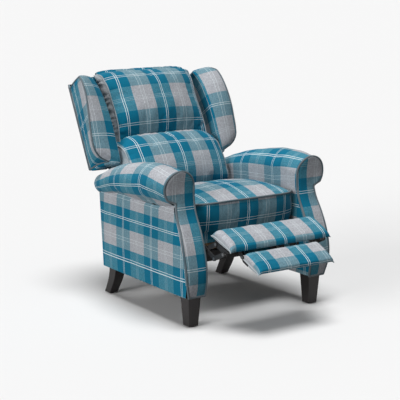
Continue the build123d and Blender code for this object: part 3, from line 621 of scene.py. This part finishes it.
def arm_roll(name, side):
    """Stuffed roll: up from the inner panel, over the top and down to the outer crease."""
    back = np.concatenate([np.linspace(0.0, 0.60, 90), np.linspace(0.605, 0.622, 4)])[:, None]
    y = FRONT + back
    rise, r = smooth(ROLL, back, 1), smooth(ROLL, back, 2)
    mz, mx = neck_z(y) + rise, INNER - ROLL_OVERLAP + r
    turn = np.radians(np.linspace(ROLL_FROM, ROLL_TO, 52))[None, :]
    x, z = mx + r * np.cos(turn), mz + r * np.sin(turn)
    lead = np.linspace(0, 1, 6)[None, :-1]
    x0 = INNER + (x[:, :1] - INNER) * lead ** 2
    z0 = neck_z(y) - 0.012 + (z[:, :1] - neck_z(y) + 0.012) * lead
    tuck = np.linspace(0, 1, 6)[None, 1:]
    x1 = x[:, -1:] + (outer_at(y) - TUCK - x[:, -1:]) * tuck
    z1 = z[:, -1:] + (BASE + smooth(CREASE, back) - z[:, -1:]) * tuck ** 0.7
    x, z = np.concatenate([x0, x, x1], 1), np.concatenate([z0, z, z1], 1)
    grid = points(x, y + 0 * x, z)
    fold = np.exp(-((back - ROLL_KNEE) / 0.012) ** 2)
    fold = fold * np.clip(np.linspace(-0.5, 1.2, x.shape[1]), 0, 1)
    out = np.stack([x - mx, 0 * x, z - mz], -1)
    out /= np.linalg.norm(out, axis=-1, keepdims=True) + 1e-9
    grid += out * (0.0016 * ripple(grid, 0.09, 9) - 0.004 * fold)[..., None]
    lean = np.clip(1 - back / 0.06, 0, 1)
    grid[..., 1] += (facing_y(grid[..., 2]) + TUCK - FRONT) * lean
    around = run(grid[20])
    on_roll = slice(lead.size, lead.size + turn.size)
    middle = np.interp(np.radians(ROLL_LINE), turn[0][::-1], around[on_roll][::-1])
    end = grid[-1]
    centre = end.mean(0)
    shrink = np.linspace(0, 1, 9)[1:, None, None]
    cap = centre + (end - centre)[None] * np.sqrt(1 - shrink ** 2)
    cap[..., 1] = end[None, :, 1] + 0.026 * shrink[..., 0]
    grid = np.concatenate([grid, cap])
    v = grid[:, 20:21, 1] - SIDE_BLUE_Y
    back = np.clip(grid[:, 20:21, 1] - FRONT, 0, 0.6)
    knee = np.abs(back - ROLL_KNEE) / np.where(back < ROLL_KNEE, ROLL_KNEE, 0.40)
    u = middle + 0.020 * np.clip(knee, 0, 1) - around[None, :]
    piece = build(f"roll_{name}", [patch(mirrored(side, grid), u, v)], "base")
    settle(piece, 0.8, f"arm_roll_{name}")


def scroll_edges(z):
    """Inner and outer edge of the arm's front at a height."""
    back, rise, r = ROLL[0]
    mx, mz = INNER - ROLL_OVERLAP + r, neck_z(FRONT + back) + rise
    lip = mz - 0.82 * r
    half = np.sqrt(np.clip(r * r - (z - mz) ** 2, 0, None))
    inner = np.where(z < mz, INNER - ROLL_OVERLAP * (z - BASE) / (mz - BASE), mx - half)
    belly = OUTER + smooth(BELLY, np.clip((z - BASE) / (lip - BASE), 0, 1))
    reach = mx + 0.8 * r
    share = np.clip((z - lip) / (0.22 * r), 0, 1)
    outer = np.where(z < lip, belly, np.where(z < mz - 0.6 * r, belly + (reach - belly) * share,
                                              mx + half))
    return inner, outer, mz + r


def arm_facing(name, side):
    """Padded panel on the arm's front, with piping all round."""
    top = scroll_edges(np.array(0.5))[2]
    rise = np.sin(np.linspace(0, pi / 2, 70))[:, None]
    z = BASE + (top - 0.0003 - BASE) * rise
    inner, outer, _ = scroll_edges(z)
    share = (1 - np.cos(np.linspace(0, pi, 28)))[None, :] / 2
    x = inner + (outer - inner) * share
    edge = np.minimum(share, 1 - share) * (outer - inner)
    dome = 0.0045 * (1 - np.clip(1 - edge / 0.016, 0, 1) ** 2)
    y = facing_y(z) - dome * np.clip(rise / 0.06, 0, 1) ** 0.5
    face = points(x, y, z + 0 * x)
    face[..., 1] -= 0.0008 * ripple(face, 0.05, 3) * np.clip(edge / 0.02, 0, 1)
    rim = [np.array([0.0, step, 0.0]) for step in (FACING_T, 0.0)]
    left = np.stack([face[:, 0] + push for push in rim], 1)
    right = np.stack([face[:, -1] + push for push in rim[::-1]], 1)
    grid = np.concatenate([left[:, :1], face, right[:, 1:]], 1)
    foot = grid[:1] + rim[0] * (grid[:1, :, 1:2] < grid[0, 0, 1] - 1e-6)
    foot[..., 1] = grid[0, 0, 1]
    grid = np.concatenate([foot, grid])
    u = grid[..., 0] - FACING_BLUE_X
    v = FACING_SCALE * (grid[..., 2] - FACING_BLUE_Z)
    piece = build(f"facing_{name}", [patch(mirrored(side, grid), u, v)], "base")
    settle(piece, 0.5, f"arm_facing_{name}")
    rim_x = np.concatenate([face[:, 0, 0], face[::-1, -1, 0]])
    rim_z = np.concatenate([face[:, 0, 2], face[::-1, -1, 2]])
    path = points(rim_x, facing_y(rim_z) + 0.001, rim_z)
    corner = path[-1:] + (path[:1] - path[-1:]) * np.linspace(0, 1, 10)[1:, None]
    path = mirrored(side, np.concatenate([path, corner]))
    tubes(f"facing_piping_{name}", [path], 0.0048, "base", PIPING)


# ---------------------------------------------------------------- cushions
SHOULDER = 0.62             # how square the crown's sides are: 1 is round
GATHER_PITCH = 0.026        # along a gathered side, from fold to fold


class Pillow:
    """Shape of a stuffed cushion over a supporting face.

    rows holds, along the cushion, the height of its side seams and the crown between them.
    Its ends may hang back towards the corners by start and end, as far as their power says.
    Its sides pull in halfway along, bulge, and may gather in folds.
    """

    def __init__(self, half, rows, start, end=(0.0, 4), pull=0.0, bulge=0.006, gather=0.0):
        self.half, self.rows = half, rows
        self.start, self.end = start, end
        self.pull, self.bulge, self.gather = pull, bulge, gather

    def along(self, share, w):
        first, last = self.rows[0][0], self.rows[-1][0]
        first = first - self.start[0] * np.abs(w) ** self.start[1]
        last = last - self.end[0] * np.abs(w) ** self.end[1]
        return first + (last - first) * share

    def height(self, share, w):
        a = self.rows[0][0] + (self.rows[-1][0] - self.rows[0][0]) * share
        crown = smooth(self.rows, a, 2) * (1 - w ** 2) ** SHOULDER
        return smooth(self.rows, a, 1) + crown

    def across(self, share, w):
        return (self.half - self.pull * np.sin(pi * share)) * w


def pillow(name, body, place, shape, lines, columns, side_finish, blue, seed, band=None):
    """Makes a cushion; place(x, a, h) maps across, along and out of the face behind it.

    blue is where a blue band's middle lies, across and along. band, where the front is cut
    apart from the top, is how far below the seam its blue band's middle lies, and its scale.
    """
    share = np.linspace(0, 1, lines)[:, None]
    w = np.sin(np.linspace(-pi / 2, pi / 2, columns))[None, :]
    x, a, h = shape.across(share, w), shape.along(share, w), shape.height(share, w)
    h = h + 0.0022 * ripple(points(x, a, 0.0), 0.07, seed) * (1 - w ** 4) * np.sin(pi * share)
    face = place(x, a, h)
    up = a - blue[1]
    patches = [patch(face, x - blue[0], up)]
    level = np.linspace(0, 1, 12)[None, :]
    wander = 5.0 * ripple(points(a[:, :1], 0.4 * level * shape.bulge, 0.0), 0.11, seed)
    folds = np.sin(2 * pi * a[:, :1] / GATHER_PITCH + wander + 1.2 * level)
    folds = folds * (0.5 + 0.5 * ripple(points(a[:, :1], 0.05 * level, 0.0), 0.06, seed + 1))
    seam = shape.height(share, 1.0)
    out = shape.bulge * np.sin(pi * level ** 0.8)
    out = out + shape.gather * folds * np.sin(pi * level) ** 0.7
    for way, edge in ((-1, 0), (1, -1)):
        rim_x, rim_a, rim_up = (grid[:, [edge]] for grid in (x, a, up))
        side = place(way * (np.abs(rim_x) + out), rim_a, seam * level)
        patches.append(patch(side, seam * level + 0.09, rim_up, side_finish))
    patches.append(patch(place(x, a, 0 * a), x, up, BLACK))
    level = level.T
    for end, way in ((0, -1), (-1, 1)):
        push = way * shape.bulge * np.sin(pi * level)
        cap = place(x[end][None, :], a[end] + push, h[end][None, :] * level)
        rise = h[end][None, :] * level
        first = up[end].mean() + way * (seam[end].max() - rise)
        if end == 0 and band:
            first = band[1] * (rise - seam[end].max() + band[0])
        patches.append(patch(cap, x[end][None, :] - blue[0], first))
    piece = build(name, patches, body)
    stuff(piece, [face[:, 0], face[:, -1], face[0], face[-1], place(x, a, 0 * a)])
    seams = [place(way * (np.abs(x[:, 0]) + 0.001), a[:, 0], seam[:, 0] + 0.001)
             for way in (-1, 1)]
    front = place(x[0], a[0] - 0.001, h[0])
    return piece, seams, front


SEAT_SEAM = DECK + 0.111
SEAT_LINE = 0.392           # the white lines along the seat's front are this high
SEAT_BAND_SCALE = 0.8


def seat_cushion():
    """Crowned seat, whose front drops square and is undercut; welted along three edges."""
    half = (high["seat_cushion"].x - low["seat_cushion"].x) / 2 - 0.002
    y0 = low["seat_cushion"].y
    rows = [(0.0, SEAT_SEAM - DECK, 0.006), (0.03, 0.114, 0.014), (0.10, 0.117, 0.024),
            (0.19, 0.116, 0.026), (0.33, 0.104, 0.018), (0.413, 0.078, 0.004)]

    def place(x, a, h):
        bow = 0.010 * (1 - (x / half) ** 2) * np.clip(1 - a / 0.10, 0, 1)
        undercut = 0.010 * (1 - np.clip(h / 0.11, 0, 1)) * np.clip(1 - a / 0.05, 0, 1)
        return points(x, y0 + a - bow + undercut, DECK + h)

    shape = Pillow(half, rows, start=(-0.036, 7), pull=0.003, bulge=0.003)
    piece, seams, front = pillow("seat_top", "seat", place, shape, 64, 65, WOVEN, (0.0, 0.147), 3,
                                 (SEAT_SEAM - SEAT_LINE, SEAT_BAND_SCALE))
    settle(piece, 0.8, "seat_cushion")
    along_sides = [seam[:60] for seam in seams]
    tubes("seat_piping", [front, *along_sides], 0.0042, "seat", PIPING)


def seat_apron():
    """Cloth that hangs from the seat cushion's front, down over the front rail."""
    rail = low["seat_front_rail"]
    half = high["seat_front_rail"].x
    x = np.linspace(-half, half, 50)[None, :]
    drop = np.linspace(0, 1, 16)[:, None]
    z = DECK + 0.006 - (DECK + 0.010 - rail.z) * drop
    y = rail.y - 0.003 - 0.002 * np.sin(pi * drop) - 0.002 * (1 - (x / half) ** 2) * (1 - drop)
    front = points(x, y + 0.0005 * ripple(points(x, 0.0, z), 0.08, 2), z)
    tuck = np.stack([front[-1], front[-1] + [0, 0.012, -0.002], front[-1] + [0, 0.030, 0.0]])
    skin = np.concatenate([front, tuck[1:]])
    v = np.concatenate([z[:, 0], z[-1] - 0.012, z[-1] - 0.030])[:, None] - SEAT_LINE
    v = SEAT_BAND_SCALE * v
    piece = build("seat_apron", [patch(skin, x + 0 * v, v)], "seat")
    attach(piece, "seat")


def lumbar():
    rows = [(0.030, 0.047, 0.004), (0.055, 0.090, 0.016), (0.137, 0.119, 0.034),
            (0.228, 0.113, 0.036), (0.298, 0.090, 0.032), (0.338, 0.046, 0.016)]
    shape = Pillow(high["lumbar_cushion"].x - 0.006, rows, start=(-0.02, 6), end=(0.034, 9))
    piece, seams, _ = pillow("lumbar_pillow", "back", on_back_face, shape, 56, 61, PLAIN,
                             (0.006, 0.265), 7)
    settle(piece, 0.75, "lumbar_cushion")
    tubes("lumbar_welts", seams, 0.0026, "back", BOXING_PAINTED_LIGHT)


def head():
    rows = [(0.336, 0.060, 0.013), (0.398, 0.071, 0.034), (0.505, 0.066, 0.034),
            (0.598, 0.056, 0.026), (0.632, 0.036, 0.015), (0.644, 0.012, 0.005)]
    shape = Pillow(high["head_cushion"].x - 0.020, rows, start=(0.028, 9), end=(0.010, 8),
                   pull=0.010, bulge=0.012, gather=0.0050)
    piece, seams, _ = pillow("head_pillow", "back", on_back_face, shape, 60, 91, PLAIN,
                             (0.018, BACK_BLUE_S), 11)
    settle(piece, 0.75, "head_cushion")
    tubes("head_welts", seams, 0.0026, "back", BOXING_PAINTED_LIGHT)


# ---------------------------------------------------------------- wings
# up the wing's front: height up the back, outer edge (x, t), inner edge t
WING = [(0.248, 0.300, 0.010, 0.030), (0.252, 0.326, 0.014, 0.034), (0.259, 0.345, 0.019, 0.037),
        (0.270, 0.358, 0.025, 0.039), (0.285, 0.366, 0.030, 0.040), (0.310, 0.370, 0.0345, 0.041),
        (0.367, 0.370, 0.045, 0.044), (0.429, 0.367, 0.056, 0.041), (0.494, 0.360, 0.060, 0.031),
        (0.528, 0.357, 0.057, 0.024), (0.566, 0.354, 0.048, 0.010), (0.598, 0.350, 0.032, -0.006),
        (0.614, 0.343, 0.014, -0.018)]
WING_REAR_X = 0.340
# middles of a blue band up the wing and of a grey band across it, which differ by side
WING_BLUE_ROW = {"left": 0.340, "right": 0.424}
WING_GREY_COLUMN = {"left": 0.351, "right": 0.317}
WING_OUTSIDE_ROW = 0.425


def wing(name, side):
    """One wing: inner, front, outer and rear faces with rounded ends, piped at its edges."""
    s = np.linspace(WING[0][0], WING[-1][0], 70)[:, None]
    x_out, t_out, t_in = (smooth(WING, s, column) for column in (1, 2, 3))
    cross = np.linspace(0, 1, 18)[None, :]
    inner = [INNER - 0.002 * cross ** 8, POST_REAR_T + (t_in - POST_REAR_T) * cross]
    bulge = 0.010 * np.sin(pi * cross) ** 0.7
    face = [INNER + (x_out - INNER) * cross, t_in + (t_out - t_in) * cross + bulge]
    face[0] = face[0] - 0.002 * (1 - cross) ** 2
    outer = [x_out + (WING_REAR_X - x_out) * cross + 0.004 * np.sin(pi * cross),
             t_out + (POST_REAR_T - t_out) * cross]
    rear = [WING_REAR_X + (INNER - WING_REAR_X) * cross, POST_REAR_T + 0 * s + 0 * cross]

    def height(x, t):
        """Rows tilt: lower at the rear, and by the foot also lower towards the pillows."""
        up = (s - WING[0][0]) / (WING[-1][0] - WING[0][0])
        droop = 0.35 * (x - 0.36) * np.clip((t + 0.05) / 0.08, 0, 1) * (1 - up) ** 4
        return s + (t - 0.02) * (0.14 * up + 0.16 * (1 - up)) + droop

    patches, loops = [], []
    for index, (x, t) in enumerate((inner, face, outer, rear)):
        x, t = np.broadcast_arrays(x + 0 * s, t)
        grid = on_back(x, height(x, t), t)
        if index == 2:
            grid[..., 0] += 0.0012 * ripple(grid, 0.10, 6)
        u = (t - t_in, x - WING_GREY_COLUMN[name] - REPEAT_A / 2, -1.15 * (t + 0.040),
             x - 0.30)[index]
        v = s + 0 * t - (WING_OUTSIDE_ROW if index == 2 else WING_BLUE_ROW[name])
        patches.append(patch(mirrored(side, grid), u, v))
        loops.append((grid[0, :-1], grid[-1, :-1]))
    for end in (0, 1):
        ring = np.concatenate([loop[end] for loop in loops])
        ring = np.concatenate([ring, ring[:1]])
        centre = ring.mean(0)
        push = on_back(0.0, 1.0, 0.0) - on_back(0.0, 0.0, 0.0)
        steps = np.linspace(0, 1, 14)[:, None, None]
        turn = np.clip(steps * 2, 0, 1) * pi / 2
        level = np.where(steps < 0.5, 1 - 0.30 * (1 - np.cos(turn)), 1.4 * (1 - steps))
        cap = centre + (ring - centre)[None] * level
        lift = 0.011 * np.sin(turn)
        cap = cap + push * lift * (1 if end else -1)
        patches.append(patch(mirrored(side, cap), run(ring)[None, :] - 0.25, 0.05 * steps[..., 0]))
    piece = build(f"wing_{name}", patches, "back")
    settle(piece, 0.7, f"wing_pad_{name}")
    edge = mirrored(side, on_back(x_out + 0.001, height(x_out, t_out), t_out)[:, 0])
    outside = patches[2][0]
    path = np.concatenate([outside[0][::-1], edge, outside[-1], outside[::-1, -1]])
    tubes(f"wing_piping_{name}", [path], 0.0036, "back", PIPING)


# ---------------------------------------------------------------- outside back and rear panel
def slab(name, place, u_range, v_range, thick, body, nodes, uv, crown=0.006, count=(40, 50)):
    """Board covered with cloth: crowned outer face, turned edges, plain inner face.

    uv is where a blue band's middle lies. Returns the outer face's border, for its piping.
    """
    u = np.linspace(*u_range, count[0])[None, :]
    v = np.linspace(*v_range, count[1])[:, None]
    ease = (1 - np.linspace(-1, 1, count[0])[None, :] ** 6) * (
        1 - np.linspace(-1, 1, count[1])[:, None] ** 6)
    outer = place(u, v, thick + crown * ease)
    inner = place(u, v, 0.0 * u)
    patches = [patch(outer, u - uv[0], v - uv[1]), patch(inner, u, v, BLACK)]
    for edge in (np.s_[0, :], np.s_[-1, :], np.s_[:, 0], np.s_[:, -1]):
        strip = np.stack([inner[edge], outer[edge]])
        patches.append(patch(strip, run(strip[0])[None, :], np.array([[0.0], [thick]])))
    piece = build(name, patches, body)
    if nodes:
        settle(piece, 0.3, *nodes)
    else:
        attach(piece, body)
    return np.concatenate([outer[0], outer[1:, -1], outer[-1, -2::-1], outer[-2::-1, 0]])


BACK_TOP = 0.633            # top of the cloth over the back's frame, up from the hinge


def rear_panels():
    """Outside back in two panels, the low panel at the rear, and the covers of the frame."""
    def upper(x, s, out):
        return on_back(x, s, POST_REAR_T - out)

    wide = high["outside_back"].x
    narrow = 0.246
    border = slab("outside_back_upper", upper, (-wide, wide), (0.232, 0.616), 0.010, "back",
                  ("outside_back",), (0.0, BACK_BLUE_S))
    tubes("outside_back_piping", [border], 0.004, "back", PIPING)
    slab("outside_back_lower", upper, (-narrow, narrow), (-0.055, 0.2315), 0.010, "back", (),
         (0.0, BACK_BLUE_S))
    frame_covers()
    y0, z0, z1 = low["rear_panel"].y, low["rear_panel"].z, high["rear_panel"].z + 0.015
    slab("rear_apron", lambda x, z, out: points(x, y0 + out, z), (-INNER, INNER), (z0, z1),
         0.012, "base", ("rear_panel",), (0.0, 0.2), crown=0.004, count=(40, 16))


def frame_covers():
    """Cloth over the back's frame: its top, its front and the outer faces of its posts."""
    x = np.linspace(-INNER, INNER, 40)[None, :]
    cross = np.linspace(0, 1, 14)[:, None]
    t = -0.0975 + 0.0465 * cross
    rise = 0.0180
    s = BACK_TOP - rise + rise * np.sin(pi * cross / 2) - 0.004 * (x / INNER) ** 6
    hood = build("back_top_cover", [patch(on_back(x, s, t + 0 * x), x, 0.239 + s - t)], "back")
    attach(hood, "back")

    s = np.linspace(0.025, BACK_TOP, 40)[:, None]
    x = x * (1 - 0.003 / INNER)
    top = s - 0.004 * (x / INNER) ** 6 * (s / BACK_TOP) ** 12
    lining = build("inner_back", [patch(on_back_face(x, top, 0.0005), x, s)], "back")
    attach(lining, "back")

    above_brackets, top = 0.152, 0.612
    s = np.linspace(above_brackets, top, 30)[:, None]
    t = np.linspace(-0.0885, -0.0496, 6)[None, :]
    edge = high["back_posts"].x + 0.0012
    strips = [patch(on_back(way * edge, s, t + 0 * s), t, s) for way in (-1, 1)]
    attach(build("back_side_covers", strips, "back"), "back")


# ---------------------------------------------------------------- footrest
# along a footrest panel: share of its reach, share of its thickness
BOARD_PROFILE = [(0.0, 0.30), (0.05, 0.72), (0.15, 0.95), (0.35, 1.0), (0.65, 0.95),
                 (0.88, 0.76), (0.97, 0.52), (1.0, 0.25)]


def board_pad(name, body, nodes, place, half, a0, a1, h0, tall, column, row, sag=0.0):
    """Upholstered board: one wrapped panel whose top rolls down to a seam at each end.

    a0 to a1 is its reach from the pivot and h0 its underside, which hangs lower at the rear
    by sag. column and row say where the middle of a blue band lies.
    """
    share = (1 - np.cos(np.linspace(0, pi, 44))) / 2
    a = a0 + (a1 - a0) * share
    top = h0 + tall * smooth(BOARD_PROFILE, share)
    ring_a = np.concatenate([a, a[::-1][1:-1], a[:1]])
    back_share = share[::-1][1:-1]
    low_edge = h0 + 0.30 * tall * back_share ** 4
    hang = np.clip(1 - back_share ** 4, 0, 1) * np.sin(pi * back_share) ** 0.3
    low_edge = low_edge - sag * hang
    ring_h = np.concatenate([top, low_edge, top[:1]])
    x = half * np.sin(np.linspace(-pi / 2, pi / 2, 73))[:, None]
    roll = np.sqrt(1 - np.clip(1 - (half - np.abs(x)) / 0.020, 0, 1) ** 2)
    level = h0 + 0.14 * tall - sag
    height = level + (ring_h[None, :] - level) * (0.42 + 0.58 * roll)
    height = height + 0.0012 * ripple(points(x, ring_a[None, :], 0.0), 0.06, 11) * (
        ring_h[None, :] > h0 + 0.012) * roll
    reach = (ring_a - a0) / (a1 - a0)
    ears = 0.992 + 0.022 * reach ** 10 + 0.008 * (1 - reach) ** 14
    grid = place(x * ears[None, :], ring_a[None, :], height)
    middle = len(grid) // 2
    along, across = run(grid[middle]), run(grid[:, 20])
    blue = np.interp(row, a, along[:len(a)]) + REPEAT_B / 4
    patches = [patch(grid, across[:, None] - across[middle] - column, along[None, :] - blue)]
    rims = []
    for end, way in ((0, -1), (-1, 1)):
        rim = height[end, :len(a)]
        foot = np.concatenate([height[end, :1], height[end, len(a):-1][::-1],
                               height[end, len(a) - 1:len(a)]])
        rise = np.linspace(0, 1, 4)[:, None]
        cap = place(way * half * ears[None, :len(a)], a[None, :], foot + (rim - foot) * rise)
        patches.append(patch(cap, rise * 0.01, a[None, :], PLAIN))
        rims.append(place(way * (half * ears[:len(a)] + 0.0005), a, (rim + foot) / 2))
    piece = build(name, patches, body)
    settle(piece, 0.5, *nodes)
    tubes(f"{name}_welts", rims, 0.0024, body, BOXING_PAINTED_LIGHT)


def footrest():
    slope = 19.4
    board_pad("footrest_panel", "footrest", ("footrest_pad", "footrest_board"),
              tilted(PIVOT["footrest_turn"][1:], slope), high["footrest_pad"].x - 0.002,
              a0=-0.034, a1=0.103, h0=0.0125, tall=0.042, column=0.021, row=0.088)
    board_pad("flipper_panel", "flipper", ("flipper_pad", "flipper_board"),
              tilted(PIVOT["flipper_fold"][1:], slope + 4.5), high["flipper_pad"].x + 0.003,
              a0=-0.003, a1=0.116, h0=-0.007, tall=0.034, column=0.059, row=0.070, sag=0.009)


# ---------------------------------------------------------------- floor, light, camera
FLOOR_WHITE = (0.80, 0.80, 0.80)
FLOOR_BOUNCE = (0.22, 0.22, 0.22)      # light that the floor throws back on the chair
WHITE_SKY = 0.92                       # behind the floor's far edge, in low views
SKY_LIGHT = 0.12
# lamp: strength, width in degrees, way its light goes
SUNS = {"overhead": (2.75, 30.0, (0.04, 0.10, -1.0)), "left": (2.05, 34.0, (0.88, 0.13, -0.25))}


def seen_directly(tree):
    """1 for rays that see a surface itself or in a mirror, 0 for those that gather light."""
    ray = node(tree, "ShaderNodeLightPath").outputs
    return maths(tree, "MAXIMUM", ray["Is Camera Ray"],
                 maths(tree, "MAXIMUM", ray["Is Glossy Ray"], ray["Is Transmission Ray"]))


def floor():
    size = 60.0
    mesh = bpy.data.meshes.new("floor")
    mesh.from_pydata([(-size, -size, 0), (size, -size, 0), (size, size, 0), (-size, size, 0)], [],
                     [(0, 1, 2, 3)])
    plane = bpy.data.objects.new("floor", mesh)
    bpy.context.scene.collection.objects.link(plane)
    made, tree, surface = shader("pale_floor", 0.9, specular=0.0)
    colour = mix(tree, seen_directly(tree), FLOOR_BOUNCE, FLOOR_WHITE)
    tree.links.new(colour, surface.inputs["Base Color"])
    mesh.materials.append(made)


def light():
    world = bpy.data.worlds.new("studio")
    bpy.context.scene.world = world
    world.use_nodes = True
    tree, sky = world.node_tree, world.node_tree.nodes["Background"]
    sky.inputs[0].default_value = (1.0, 1.0, 1.0, 1.0)
    bright = graded(tree, seen_directly(tree), WHITE_SKY - SKY_LIGHT, SKY_LIGHT)
    tree.links.new(bright, sky.inputs[1])
    for name, (strength, angle, aim) in SUNS.items():
        lamp = bpy.data.lights.new(name, "SUN")
        lamp.energy = strength
        lamp.angle = radians(angle)
        held = bpy.data.objects.new(name, lamp)
        held.rotation_euler = Vector(aim).to_track_quat("-Z", "Y").to_euler()
        bpy.context.scene.collection.objects.link(held)


def camera():
    lens = bpy.data.cameras.new("camera")
    lens.sensor_width = 36.0
    lens.lens = 117.67
    lens.shift_x, lens.shift_y = -0.00125, -0.00425
    seen = bpy.data.objects.new("camera", lens)
    place, target = Vector((-3.098, -4.356, 1.471)), Vector((0.0, 0.068, 0.4185))
    seen.location = place
    seen.rotation_euler = (target - place).to_track_quat("-Z", "Y").to_euler()
    bpy.context.scene.collection.objects.link(seen)
    bpy.context.scene.camera = seen


bpy.context.scene.view_settings.view_transform = "Standard"
finish_cad_nodes()
for side_name, side_sign in SIDES.items():
    arm_side(side_name, side_sign)
    arm_roll(side_name, side_sign)
    arm_facing(side_name, side_sign)
    wing(side_name, side_sign)
seat_cushion()
seat_apron()
lumbar()
head()
rear_panels()
footrest()
floor()
light()
camera()
